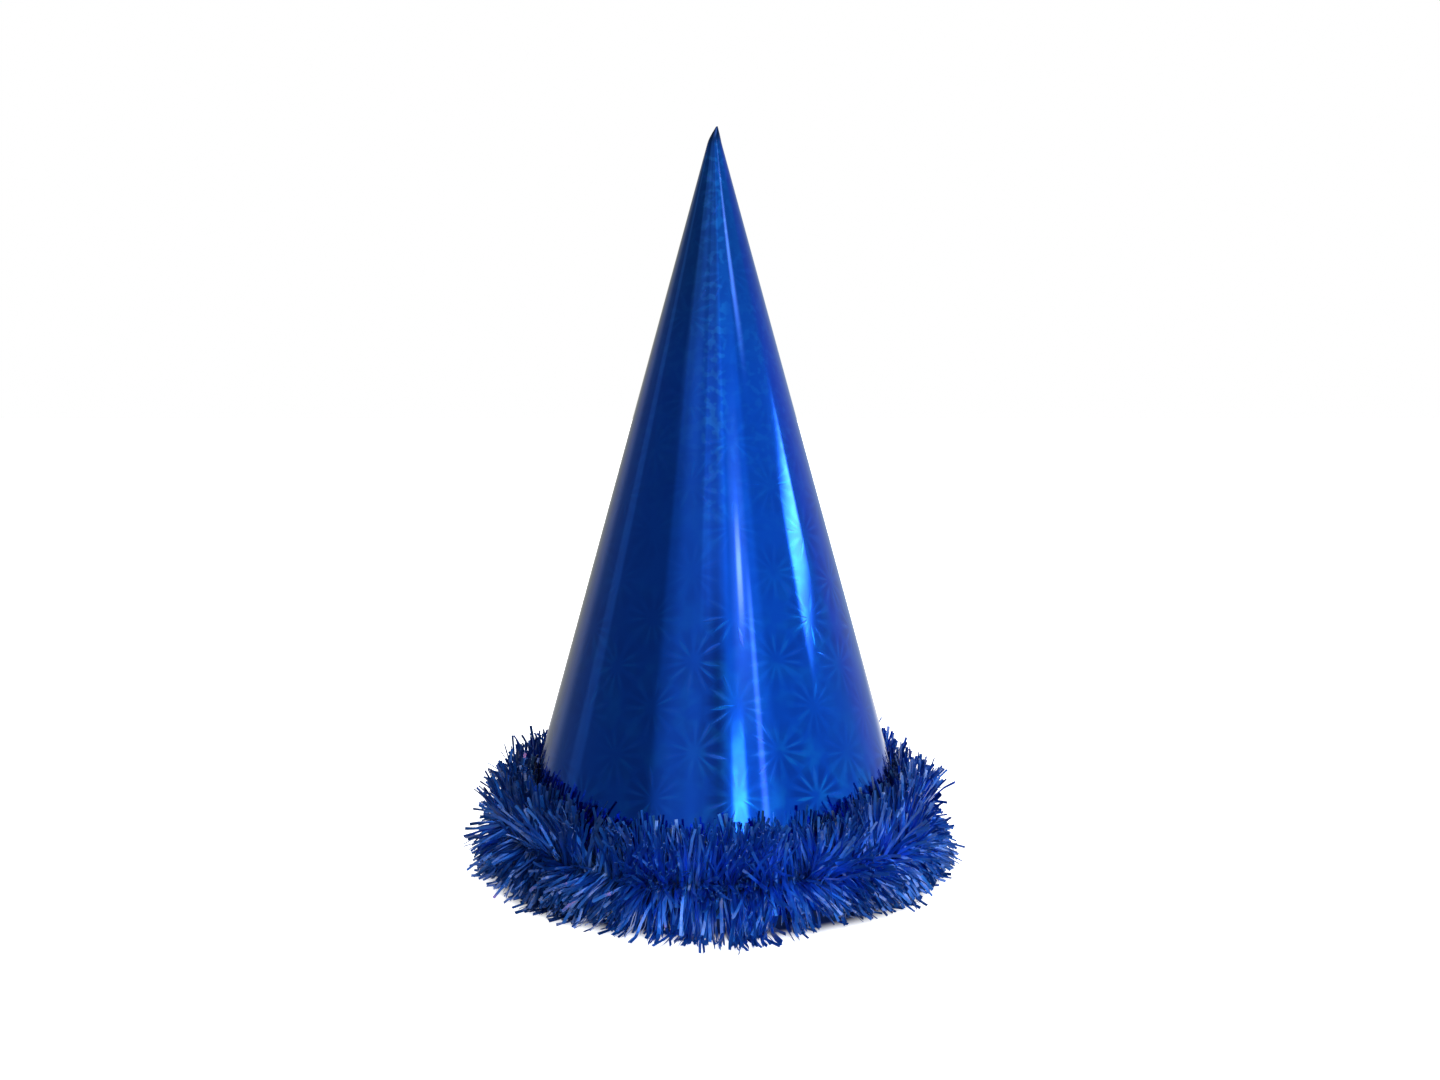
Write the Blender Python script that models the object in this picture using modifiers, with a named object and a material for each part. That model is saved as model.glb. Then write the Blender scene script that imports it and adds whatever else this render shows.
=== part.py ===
"""New year party hat: a cone rolled from foil card, with a tinsel garland round its rim.

The cone is rolled from one flat fan-shaped blank, so its wall is a shallow spiral whose
end laps over its start at the back and is glued there. The garland is a twisted pair of
threads that holds bundles of cut foil strips, and hot glue dots hold the threads to the
cone. The hat stands on the garland, which keeps the card's edge just off the ground.

Metres, +Z up. The origin is on the ground below the tip, and -Y is the front.
"""

import math

import bmesh
import bpy
from mathutils import Vector

HAT = "party_hat"
MM = 0.001

# The cone, described by the outer face of its foil film halfway through the turn
APEX_HEIGHT = 227.6 * MM  # where the straight lines of the wall would meet
HALF_ANGLE = math.radians(15.55)
RIM_HEIGHT = 3.0 * MM
TIP_SLANT = 4.1 * MM  # the blank's point is cut off this far from the apex
STEPS_PER_TURN = 96
LAP_STEPS = 3  # the wall goes on for this many steps past a full turn
SEAM_ANGLE = math.radians(90.0)  # the middle of the lap, at the back

# The layers of the wall
CARD_THICKNESS = 0.36 * MM
FILM_THICKNESS = 0.08 * MM
SEAM_GLUE_THICKNESS = 0.08 * MM
LAYER_GAP = 0.10 * MM
SEAM_GLUE_MARGIN = 0.25  # steps left bare at each side of the lap
SEAM_GLUE_TOP_SLANT = 14.0 * MM
SEAM_GLUE_RIM_MARGIN = 3.0 * MM

# The holes for the elastic cord, one at each side
CORD_HOLE_RADIUS = 1.5 * MM
CORD_HOLE_HEIGHT = 18.0 * MM
CORD_HOLE_SIDES = 16

# The garland's threads
CORE_HEIGHT = 12.0 * MM
CORE_STANDOFF = 2.3 * MM  # from the film's outer face to the middle of the twist
THREAD_RADIUS = 0.45 * MM
TWIST_RADIUS = 0.65 * MM
TWISTS = 12
POINTS_PER_TWIST = 8
CORE_END_GAP = math.radians(1.4)  # between the garland's two ends, at the seam

# The bundles of foil strips
BUNDLES = 16
BUNDLE_STEPS = 4
BUNDLE_GAP = math.radians(0.5)
BUNDLE_WALL_STANDOFF = 0.95 * MM
BUNDLE_TOP = 27.0 * MM
BUNDLE_RADIUS = 75.5 * MM
CORE_CHANNEL_CLEARANCE = 0.55 * MM
CORE_CHANNEL_HALF_HEIGHT = 3.0 * MM
CORE_CHANNEL_MOUTH = 5.0 * MM  # half its height at the wall

# The dots of hot glue between the threads and the cone
GLUE_DOTS = 12
DOT_STANDOFF = 0.82 * MM
DOT_HALF_SIZE = Vector((0.25, 3.0, 2.2)) * MM  # through the wall, round it and up it

TURNS = 1.0 + LAP_STEPS / STEPS_PER_TURN
LAP_ANGLE = math.tau * LAP_STEPS / STEPS_PER_TURN
LAP_RISE = CARD_THICKNESS + FILM_THICKNESS + SEAM_GLUE_THICKNESS + 3.0 * LAYER_GAP
RIM_SLANT = (APEX_HEIGHT - RIM_HEIGHT) / math.cos(HALF_ANGLE)


def wall_point(slant, turn, height):
    """A point of the rolled wall: slant is from the apex, height is above the film's outer face."""
    angle = SEAM_ANGLE - LAP_ANGLE / 2.0 + math.tau * turn
    lift = LAP_RISE * (turn - TURNS / 2.0) + height
    radius = slant * math.sin(HALF_ANGLE) + lift * math.cos(HALF_ANGLE)
    z = APEX_HEIGHT - slant * math.cos(HALF_ANGLE) + lift * math.sin(HALF_ANGLE)
    return Vector((radius * math.cos(angle), radius * math.sin(angle), z))


def radius_off_wall(z, standoff):
    """The radius at height z of a line that runs at a standoff from the film's outer face."""
    return (APEX_HEIGHT - z) * math.tan(HALF_ANGLE) + standoff / math.cos(HALF_ANGLE)


def clear_scene():
    for item in list(bpy.data.objects):
        bpy.data.objects.remove(item, do_unlink=True)


def make_collection(name):
    collection = bpy.data.collections.new(name)
    bpy.context.scene.collection.children.link(collection)
    return collection


def make_material(name, colour, roughness, metallic):
    material = bpy.data.materials.new(name)
    material.use_nodes = True
    shader = material.node_tree.nodes["Principled BSDF"]
    shader.inputs["Base Color"].default_value = (*colour, 1.0)
    shader.inputs["Roughness"].default_value = roughness
    shader.inputs["Metallic"].default_value = metallic
    return material


def add_piece(name, data, material, collection, parent):
    """Put a mesh or curve in the scene as one named piece of the hat."""
    if not data.materials:
        data.materials.append(material)
    piece = bpy.data.objects.new(name, data)
    piece.parent = parent
    collection.objects.link(piece)
    return piece


def mesh_from_bmesh(name, bm):
    mesh = bpy.data.meshes.new(name)
    bm.to_mesh(mesh)
    bm.free()
    mesh.shade_smooth()
    mesh.set_sharp_from_angle(angle=math.radians(40.0))
    return mesh


def rolled_sheet(name, turns, steps, slants, height, thickness, material, collection, parent):
    """Roll a flat grid between two turns and two slants, and thicken it inwards."""
    bm = bmesh.new()
    bmesh.ops.create_grid(bm, x_segments=steps, y_segments=1, size=0.5)
    first_turn, last_turn = turns
    top_slant, rim_slant = slants
    for vert in bm.verts:
        turn = first_turn + (last_turn - first_turn) * (vert.co.x + 0.5)
        slant = rim_slant + (top_slant - rim_slant) * (vert.co.y + 0.5)
        vert.co = wall_point(slant, turn, height)
    sheet = add_piece(name, mesh_from_bmesh(name, bm), material, collection, parent)
    wall = sheet.modifiers.new("Thickness", "SOLIDIFY")
    wall.thickness = thickness
    wall.offset = -1.0
    return sheet


def cord_hole_cutter(collection):
    """One round bar through both sides of the cone, where the elastic cord goes in."""
    bm = bmesh.new()
    bmesh.ops.create_cone(
        bm,
        cap_ends=True,
        segments=CORD_HOLE_SIDES,
        radius1=CORD_HOLE_RADIUS,
        radius2=CORD_HOLE_RADIUS,
        depth=2.0 * BUNDLE_RADIUS,
    )
    mesh = bpy.data.meshes.new("cord_hole_cutter")
    bm.to_mesh(mesh)
    bm.free()
    cutter = bpy.data.objects.new("cord_hole_cutter", mesh)
    cutter.location = (0.0, 0.0, CORD_HOLE_HEIGHT)
    cutter.rotation_euler = (0.0, math.radians(90.0), 0.0)
    cutter.hide_render = True
    cutter.display_type = "WIRE"
    collection.objects.link(cutter)
    return cutter


def punch(piece, cutter):
    cut = piece.modifiers.new("Cord holes", "BOOLEAN")
    cut.operation = "DIFFERENCE"
    cut.solver = "EXACT"
    cut.object = cutter


def make_wall(collection, parent, cutter):
    """The card, the foil film laminated to its outer face, and the glue in the lap."""
    card_board = make_material("card_board", (0.62, 0.62, 0.60), 0.75, 0.0)
    blue_film = make_material("blue_film", (0.01, 0.05, 0.60), 0.18, 1.0)
    clear_glue = make_material("clear_glue", (0.75, 0.73, 0.62), 0.40, 0.0)
    whole = (0.0, TURNS)
    steps = STEPS_PER_TURN + LAP_STEPS
    blank = (TIP_SLANT, RIM_SLANT)
    under_film = -(FILM_THICKNESS + LAYER_GAP)
    card = rolled_sheet(
        "card_cone", whole, steps, blank, under_film, CARD_THICKNESS, card_board, collection, parent
    )
    film = rolled_sheet(
        "foil_film", whole, steps, blank, 0.0, FILM_THICKNESS, blue_film, collection, parent
    )
    punch(card, cutter)
    punch(film, cutter)

    margin = SEAM_GLUE_MARGIN / STEPS_PER_TURN
    glued_turns = (margin, LAP_STEPS / STEPS_PER_TURN - margin)
    glued_slants = (SEAM_GLUE_TOP_SLANT, RIM_SLANT - SEAM_GLUE_RIM_MARGIN)
    rolled_sheet(
        "seam_glue",
        glued_turns,
        LAP_STEPS,
        glued_slants,
        LAYER_GAP + SEAM_GLUE_THICKNESS,
        SEAM_GLUE_THICKNESS,
        clear_glue,
        collection,
        parent,
    )


def thread_point(along, phase):
    """A point on one of the two threads, for along from 0 to 1 round the garland."""
    angle = SEAM_ANGLE + CORE_END_GAP / 2.0 + (math.tau - CORE_END_GAP) * along
    twist = math.tau * TWISTS * along + phase
    radius = radius_off_wall(CORE_HEIGHT, CORE_STANDOFF) + TWIST_RADIUS * math.cos(twist)
    z = CORE_HEIGHT + TWIST_RADIUS * math.sin(twist)
    return Vector((radius * math.cos(angle), radius * math.sin(angle), z))


def make_thread(name, phase, material, collection, parent):
    """One of the two threads that are twisted together and hold the strips."""
    curve = bpy.data.curves.new(name, "CURVE")
    curve.dimensions = "3D"
    curve.bevel_depth = THREAD_RADIUS
    curve.bevel_resolution = 2
    curve.use_fill_caps = True
    last = TWISTS * POINTS_PER_TWIST
    spline = curve.splines.new("POLY")
    spline.points.add(last)
    for i, point in enumerate(spline.points):
        point.co = (*thread_point(i / last, phase), 1.0)
    add_piece(name, curve, material, collection, parent)


def bundle_outline():
    """The cross-section of the strips, as radius and height, anticlockwise from the ground."""
    channel_back = (
        radius_off_wall(CORE_HEIGHT, CORE_STANDOFF)
        + TWIST_RADIUS
        + THREAD_RADIUS
        + CORE_CHANNEL_CLEARANCE
    )
    mouth_low = CORE_HEIGHT - CORE_CHANNEL_MOUTH
    mouth_high = CORE_HEIGHT + CORE_CHANNEL_MOUTH
    return [
        (radius_off_wall(0.0, BUNDLE_WALL_STANDOFF), 0.0),
        (BUNDLE_RADIUS - 2.5 * MM, 0.0),
        (BUNDLE_RADIUS, 4.0 * MM),
        (BUNDLE_RADIUS, 15.0 * MM),
        (BUNDLE_RADIUS - 6.0 * MM, 24.0 * MM),
        (radius_off_wall(BUNDLE_TOP, BUNDLE_WALL_STANDOFF), BUNDLE_TOP),
        (radius_off_wall(mouth_high, BUNDLE_WALL_STANDOFF), mouth_high),
        (channel_back, CORE_HEIGHT + CORE_CHANNEL_HALF_HEIGHT),
        (channel_back, CORE_HEIGHT - CORE_CHANNEL_HALF_HEIGHT),
        (radius_off_wall(mouth_low, BUNDLE_WALL_STANDOFF), mouth_low),
    ]


def bundle_mesh():
    """One bundle: its cross-section swept round the cone's axis, centred on +X."""
    sweep = math.tau / BUNDLES - BUNDLE_GAP
    bm = bmesh.new()
    start = -sweep / 2.0
    corners = [
        bm.verts.new((r * math.cos(start), r * math.sin(start), z)) for r, z in bundle_outline()
    ]
    section = bm.faces.new(corners)
    bmesh.ops.spin(
        bm,
        geom=[section, *section.edges, *section.verts],
        cent=(0.0, 0.0, 0.0),
        axis=(0.0, 0.0, 1.0),
        angle=sweep,
        steps=BUNDLE_STEPS,
    )
    bmesh.ops.recalc_face_normals(bm, faces=bm.faces)
    return mesh_from_bmesh("strip_bundle", bm)


def glue_dot_mesh():
    """A flattened dot of glue: X is through the wall, Y round it and Z up it."""
    bm = bmesh.new()
    bmesh.ops.create_icosphere(bm, subdivisions=2, radius=1.0)
    bmesh.ops.scale(bm, vec=DOT_HALF_SIZE, verts=bm.verts)
    return mesh_from_bmesh("glue_dot", bm)


def make_garland(collection, parent):
    """The twisted threads, the bundles of strips and the dots of glue behind them."""
    thread = make_material("garland_thread", (0.05, 0.07, 0.25), 0.80, 0.0)
    strips = make_material("foil_strips", (0.01, 0.03, 0.35), 0.25, 0.9)
    hot_glue = make_material("hot_glue", (0.80, 0.78, 0.68), 0.35, 0.0)
    make_thread("core_thread_a", 0.0, thread, collection, parent)
    make_thread("core_thread_b", math.pi, thread, collection, parent)

    mesh = bundle_mesh()
    for i in range(BUNDLES):
        bundle = add_piece(f"fringe_{i + 1:02d}", mesh, strips, collection, parent)
        bundle.rotation_euler = (0.0, 0.0, math.tau * i / BUNDLES)

    mesh = glue_dot_mesh()
    radius = radius_off_wall(CORE_HEIGHT, DOT_STANDOFF)
    for i in range(GLUE_DOTS):
        angle = math.tau * (i + 0.5) / GLUE_DOTS
        dot = add_piece(f"glue_dot_{i + 1:02d}", mesh, hot_glue, collection, parent)
        dot.location = (radius * math.cos(angle), radius * math.sin(angle), CORE_HEIGHT)
        dot.rotation_euler = (0.0, -HALF_ANGLE, angle)


def main():
    clear_scene()
    collection = make_collection(HAT)
    cutters = make_collection("cutters")
    hat = bpy.data.objects.new(HAT, None)
    collection.objects.link(hat)
    make_wall(collection, hat, cord_hole_cutter(cutters))
    make_garland(collection, hat)


main()
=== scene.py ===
"""The looks of the party hat: holographic foil on a rolled card cone, with a tinsel garland.

Everything is in metres in the CAD's own frame: +Z up, the ground at z = 0, the front
towards -Y and the lapped seam at the back, towards +Y. Angles are in radians, apart from
those of the studio's panels, which are in degrees.
"""

import math

import bpy
import numpy as np
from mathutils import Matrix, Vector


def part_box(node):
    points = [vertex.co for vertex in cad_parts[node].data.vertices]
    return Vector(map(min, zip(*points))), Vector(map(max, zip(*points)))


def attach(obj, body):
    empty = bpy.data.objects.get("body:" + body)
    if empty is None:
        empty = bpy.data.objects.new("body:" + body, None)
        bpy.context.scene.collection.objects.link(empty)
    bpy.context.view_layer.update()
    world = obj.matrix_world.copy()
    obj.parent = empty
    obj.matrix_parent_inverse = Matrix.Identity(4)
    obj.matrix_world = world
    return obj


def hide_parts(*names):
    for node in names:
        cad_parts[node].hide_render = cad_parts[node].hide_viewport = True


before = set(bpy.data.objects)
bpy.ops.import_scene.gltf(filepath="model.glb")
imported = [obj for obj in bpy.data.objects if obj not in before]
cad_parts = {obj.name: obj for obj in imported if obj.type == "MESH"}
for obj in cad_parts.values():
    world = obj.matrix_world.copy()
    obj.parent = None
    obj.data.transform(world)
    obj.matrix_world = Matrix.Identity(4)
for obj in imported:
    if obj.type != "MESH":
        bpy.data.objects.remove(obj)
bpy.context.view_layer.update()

MM = 0.001
RNG = np.random.default_rng(20)

# The cone, measured on the CAD film's box, with the half angle that the blank was cut for.
# A slant is a distance down the wall from the point where the wall's lines meet.
FILM_LOW, FILM_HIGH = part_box("foil_film")
HALF_ANGLE = math.radians(15.55)
RIM_RADIUS = (FILM_HIGH.x - FILM_LOW.x + FILM_HIGH.y - FILM_LOW.y) / 4.0
APEX_HEIGHT = FILM_LOW.z + RIM_RADIUS / math.tan(HALF_ANGLE)
RIM_SLANT = (APEX_HEIGHT - FILM_LOW.z) / math.cos(HALF_ANGLE)
TIP_SLANT = 2.9 * MM
CARD_TIP_SLANT = 4.6 * MM

# The pinched tip: where it starts, how much narrower it gets, how far it leans to the
# right, and how sharply the two set in
PINCH_SLANT = 8.2 * MM
PINCH_DEPTH = 0.66
PINCH_POWER = 3
TIP_LEAN = 0.85 * MM
LEAN_POWER = 1.6

# The wall's layers, the spiral they follow from one edge of the lap to the other, and how
# finely they are divided
CARD_THICKNESS = 0.36 * MM
FILM_THICKNESS = 0.08 * MM
LAYER_GAP = 0.10 * MM
RISE_PER_TURN = 0.82 * MM
LAP_TURN = 3.0 / 96.0
TURNS = 1.0 + LAP_TURN
SEAM_ANGLE = math.radians(90.0)
TURN_STEPS = 416
WALL_ROWS = 40
TIP_ROWS = 10

# The wall's unevenness at the rim, and its waves: their shares, their numbers round the
# cone, their phases, and how fast the phases drift down the wall
RIPPLE_HEIGHT = 0.10 * MM
RIPPLES = (
    (0.5, 3.0, 0.8, 0.0),
    (0.3, 7.0, 2.1, 6.0),
    (0.2, 12.0, 4.0, -9.0),
)

# The holes for the elastic cord
CORD_HOLE_RADIUS = 1.5 * MM
CORD_HOLE_HEIGHT = 18.0 * MM
CORD_HOLE_SIDES = 32
CUTTER_LENGTH = 3.0 * RIM_RADIUS

# Edges with a greater angle than this stay sharp, on the wall and on the tinsel's strips
WALL_SHARP = math.radians(40.0)
STRIP_SHARP = math.radians(50.0)

# The garland, measured on the CAD threads. Its strips are gathered in tufts.
THREAD_REACH = 1.1 * MM
CORE_LOW, CORE_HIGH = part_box("core_thread_a")
CORE_HEIGHT = (CORE_LOW.z + CORE_HIGH.z) / 2.0
CORE_RADIUS = (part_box("core_thread_b")[1].x + CORE_HIGH.x) / 2.0 - THREAD_REACH
BUNDLES = 16
TUFTS_PER_BUNDLE = 36
STRIPS_PER_TUFT = 12
STRIP_POINTS = 7


# ---------------------------------------------------------------- mesh helpers

def mesh_object(name, vertices, faces):
    """A smooth-shaded piece from arrays of points and of quads."""
    mesh = bpy.data.meshes.new(name)
    mesh.from_pydata(np.asarray(vertices).tolist(), [], np.asarray(faces).tolist())
    mesh.validate()
    mesh.shade_smooth()
    piece = bpy.data.objects.new(name, mesh)
    bpy.context.scene.collection.objects.link(piece)
    return piece


def set_uv(piece, name, points):
    """A UV map that gives each vertex its own point."""
    loops = np.zeros(len(piece.data.loops), np.int32)
    piece.data.loops.foreach_get("vertex_index", loops)
    layer = piece.data.uv_layers.new(name=name)
    layer.data.foreach_set("uv", points[loops].astype(np.float32).ravel())


def set_material(piece, material):
    piece.data.materials.clear()
    piece.data.materials.append(material)


def finish_piece(piece, material, slot, *nodes):
    """Give a piece its material and its body, and hide the CAD parts that it stands for; slot is
    not used.
    """
    set_material(piece, material)
    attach(piece, "root")
    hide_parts(*nodes)


def grid_faces(rows, columns):
    """Quads over a grid of points numbered row by row."""
    row, column = np.mgrid[0 : rows - 1, 0 : columns - 1]
    corner = row * columns + column
    quads = np.stack([corner, corner + 1, corner + columns + 1, corner + columns], axis=-1)
    return quads.reshape(-1, 4)


# ---------------------------------------------------------------- the rolled wall

def wall_ripple(slant, turn):
    """The slight unevenness of rolled card, the same for every layer."""
    wave = 0.0
    for share, number, phase, drift in RIPPLES:
        wave = wave + share * np.sin(number * math.tau * turn + phase + drift * slant)
    return RIPPLE_HEIGHT * wave * slant / RIM_SLANT


def wall_points(slant, turn, height):
    """Points of the rolled wall, height above the film's outer face, pinched at the tip."""
    angle = SEAM_ANGLE - math.pi * LAP_TURN + math.tau * turn
    lift = RISE_PER_TURN * (turn - TURNS / 2.0) + height + wall_ripple(slant, turn)
    radius = slant * math.sin(HALF_ANGLE) + lift * math.cos(HALF_ANGLE)
    z = APEX_HEIGHT - slant * math.cos(HALF_ANGLE) + lift * math.sin(HALF_ANGLE)
    near_tip = np.clip((PINCH_SLANT - slant) / (PINCH_SLANT - TIP_SLANT), 0.0, 1.0)
    radius = radius * (1.0 - PINCH_DEPTH * near_tip**PINCH_POWER)
    x = radius * np.cos(angle) + TIP_LEAN * near_tip**LEAN_POWER
    return np.stack([x, radius * np.sin(angle), z], axis=-1)


def rolled_layer(name, top, thickness, tip_slant):
    """One closed layer of the wall, its UV map laid out on the flat blank, in metres."""
    up_wall = np.linspace(RIM_SLANT, PINCH_SLANT, WALL_ROWS, endpoint=False)
    up_wall = np.concatenate([up_wall, np.linspace(PINCH_SLANT, tip_slant, TIP_ROWS)])
    turn, slant = np.meshgrid(np.linspace(0.0, TURNS, TURN_STEPS + 1), up_wall)
    outer = wall_points(slant, turn, top).reshape(-1, 3)
    inner = wall_points(slant, turn, top - thickness).reshape(-1, 3)
    count = len(outer)
    quads = grid_faces(*turn.shape)
    index = np.arange(count).reshape(turn.shape)
    sides = [index[0, :], index[1:, -1], index[-1, -2::-1], index[-2:0:-1, 0]]
    border = np.concatenate(sides)
    after = np.roll(border, -1)
    edge = np.stack([border, border + count, after + count, after], axis=-1)
    faces = np.concatenate([quads, quads[:, ::-1] + count, edge])
    piece = mesh_object(name, np.concatenate([outer, inner]), faces)

    swing = math.tau * (turn - TURNS / 2.0) * math.sin(HALF_ANGLE)
    flat = np.stack([slant * np.sin(swing), slant * np.cos(swing)], axis=-1).reshape(-1, 2)
    set_uv(piece, "Blank", np.concatenate([flat, flat]))
    return piece


def punch_cord_holes(piece):
    """Cut the two round holes for the elastic cord through the wall, at +X and -X."""
    bpy.ops.mesh.primitive_cylinder_add(
        vertices=CORD_HOLE_SIDES,
        radius=CORD_HOLE_RADIUS,
        depth=CUTTER_LENGTH,
        location=(0.0, 0.0, CORD_HOLE_HEIGHT),
        rotation=(0.0, math.radians(90.0), 0.0),
    )
    cutter = bpy.context.object
    cut = piece.modifiers.new("Cord holes", "BOOLEAN")
    cut.operation = "DIFFERENCE"
    cut.solver = "EXACT"
    cut.object = cutter
    bpy.context.view_layer.update()
    evaluated = piece.evaluated_get(bpy.context.evaluated_depsgraph_get())
    mesh = bpy.data.meshes.new_from_object(evaluated)
    piece.modifiers.clear()
    piece.data = mesh
    bpy.data.objects.remove(cutter)
    mesh.set_sharp_from_angle(angle=WALL_SHARP)


# ---------------------------------------------------------------- the tinsel

# A strip's direction has a tilt, up from level, and a sweep, along the ring. Its bends are
# what these have gained at its tip, and a level strip's tilt gains DROOP as well. Each pair
# is a mean and a deviation.
UP_WALL = math.pi / 2.0 + HALF_ANGLE
LOWEST_TILT = -1.45
GREATEST_SWEEP = 0.95
WALL_SWEEP_SHARE = 0.6
DROOP = -0.22
GROUND_TILT = (-0.80, 0.20)
TUFT_TILT_BEND = (-0.10, 0.24)
TUFT_SWEEP_BEND = (0.0, 0.26)

# Deviations alone: of tufts, of the strips from their tuft, and of each step from its strip
LEAN_OFF_WALL = 0.16
TUFT_SWEEP = 0.20
STRIP_PLACE = 0.026
STRIP_TILT = 0.13
STRIP_SWEEP = 0.08
STRIP_BEND = 0.10
KINK = 0.07

# Whole tufts sweep one way and then the other round the ring: the tilt over which they
# follow the upper drift, and the size and the seed of the upper and of the lower drift.
# A wavy function is a mean of sines with these numbers of waves, times WAVY_SIZE.
WAVY_TURNS = (3, 5, 8, 13)
WAVY_SIZE = 1.4
UPPER_FROM = 0.25
UPPER_DRIFT = (0.20, 5)
LOWER_DRIFT = (0.42, 6)

# A few strips stray from their tuft, and a few are short, by a factor between these two
STRAY_CHANCE = 0.07
STRAY_TURN = 0.5
SHORT_CHANCE = 0.05
SHORT_FACTOR = (0.6, 0.9)

# Lengths, in millimetres, and the tilts that they go by, in radians: as cut, then cut back
# by a share where a strip points nearly level, longer up the wall but shorter at its front,
# and in clumps on the ground, reaching furthest at the front
TUFT_LENGTH = (17.4, 1.2)
STRIP_LENGTH = 0.8
LEVEL_TILT = 0.30
LEVEL_SPAN = 1.05
LEVEL_CUT = 0.50
RISING_FROM = 1.0
LYING_FROM = -0.25
EASE_SPAN = 0.4
RISING_EXTRA = 3.2
RISING_FRONT_CUT = 5.0
LYING_CUT = 2.8
LYING_FRONT_EXTRA = 7.2
FRONT_POWER = 20
CLUMP_SIZE = 1.7
CLUMP_SEED = 9
CLUMP_TURNS = (17, 29, 41)

# Where strips start and how far they keep clear, in millimetres: the pairs are the low and
# the high end for START and the gaps, and a mean and a deviation for the offsets
START = (-4.5, 0.4)
OUT_OFFSET = (0.4, 0.7)
UP_OFFSET = (0.25, 0.8)
GROUND_GAP = (0.55, 1.9)
LEAST_GROUND_GAP = 0.5
WALL_GAP = (0.35, 1.8)
LEAST_WALL_GAP = 0.75
RIM_MARGIN = 1.0

# As the ground lifts a point, it moves out by this share of the lift
PUSH_OUT = 0.75

# A strip's section, in millimetres, and how far its twist varies
HALF_WIDTH = (0.40, 0.05)
HALF_THICKNESS = 0.035
TWIST = 0.7

# The least length that a vector is divided by
TINY = 1e-12


def wavy(angle, seed, turns=WAVY_TURNS):
    """A smooth random function round the ring, between about -1 and 1."""
    phases = np.random.default_rng(seed).uniform(0.0, math.tau, len(turns))
    total = sum(np.sin(turn * angle + phase) for turn, phase in zip(turns, phases))
    return total / len(turns) * WAVY_SIZE


def spread(low, high, count):
    return RNG.uniform(low, high, count)


def scatter(middle, deviation, count):
    return RNG.normal(middle, deviation, count)


def unit(vectors):
    return vectors / np.maximum(np.linalg.norm(vectors, axis=-1, keepdims=True), TINY)


def tuft_directions(angle):
    """The tilts and sweeps of tufts at these places round the ring.

    Of each four tufts, the first stands against the wall, the third lies to the ground and
    the others point any way between.
    """
    count = len(angle)
    place = np.arange(count) % 4
    up_wall = UP_WALL - np.abs(scatter(0.0, LEAN_OFF_WALL, count))
    to_ground = scatter(*GROUND_TILT, count)
    any_way = spread(LOWEST_TILT, UP_WALL, count)
    tilt = np.select([place == 0, place == 2], [up_wall, to_ground], any_way)
    upper, lower = (size * wavy(angle, seed) for size, seed in (UPPER_DRIFT, LOWER_DRIFT))
    drift = np.where(tilt > UPPER_FROM, upper, lower)
    sweep = drift + scatter(0.0, TUFT_SWEEP, count) * np.where(place == 0, WALL_SWEEP_SHARE, 1.0)
    return tilt, np.clip(sweep, -GREATEST_SWEEP, GREATEST_SWEEP)


def strip_directions(middle_angle):
    """For each strip of a bundle: its place round the ring, tilt, sweep, bends and length."""
    places = 2.0 * (np.arange(TUFTS_PER_BUNDLE) + 0.5) / TUFTS_PER_BUNDLE - 1.0
    tuft_angle = middle_angle + math.pi / BUNDLES * places
    tuft_tilt, tuft_sweep = tuft_directions(tuft_angle)
    tuft_length = scatter(*TUFT_LENGTH, TUFTS_PER_BUNDLE)
    tuft_tilt_bend = scatter(*TUFT_TILT_BEND, TUFTS_PER_BUNDLE)
    tuft_sweep_bend = scatter(*TUFT_SWEEP_BEND, TUFTS_PER_BUNDLE)

    count = TUFTS_PER_BUNDLE * STRIPS_PER_TUFT
    tuft = np.repeat(np.arange(TUFTS_PER_BUNDLE), STRIPS_PER_TUFT)
    angle = tuft_angle[tuft] + scatter(0.0, STRIP_PLACE, count)
    tilt = tuft_tilt[tuft] + scatter(0.0, STRIP_TILT, count)
    sweep = tuft_sweep[tuft] + scatter(0.0, STRIP_SWEEP, count)
    tilt_bend = tuft_tilt_bend[tuft] + scatter(0.0, STRIP_BEND, count)
    sweep_bend = tuft_sweep_bend[tuft] + scatter(0.0, STRIP_BEND, count)
    length = tuft_length[tuft] + scatter(0.0, STRIP_LENGTH, count)
    stray = RNG.random(count) < STRAY_CHANCE
    tilt = np.where(stray, tilt + scatter(0.0, STRAY_TURN, count), tilt)
    sweep = np.where(stray, sweep + scatter(0.0, STRAY_TURN, count), sweep)
    short = RNG.random(count) < SHORT_CHANCE
    length = np.where(short, length * spread(*SHORT_FACTOR, count), length)
    tilt_bend = tilt_bend + DROOP * np.cos(tilt) ** 2
    return angle, tilt, sweep, tilt_bend, sweep_bend, shaped_length(length, tilt, angle)


def shaped_length(length, tilt, angle):
    """The lengths after trimming by direction and by place, in metres."""
    front = np.maximum(-np.sin(angle), 0.0)
    level = np.clip(1.0 - np.abs(tilt - LEVEL_TILT) / LEVEL_SPAN, 0.0, 1.0)
    rising = np.clip((tilt - RISING_FROM) / EASE_SPAN, 0.0, 1.0)
    lying = np.clip((LYING_FROM - tilt) / EASE_SPAN, 0.0, 1.0)
    clumps = CLUMP_SIZE * wavy(angle, CLUMP_SEED, CLUMP_TURNS)
    length = length * (1.0 - LEVEL_CUT * level)
    length = length + rising * (RISING_EXTRA - RISING_FRONT_CUT * front**2)
    length = length + lying * (LYING_FRONT_EXTRA * front**FRONT_POWER - LYING_CUT + clumps)
    return length * MM


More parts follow.
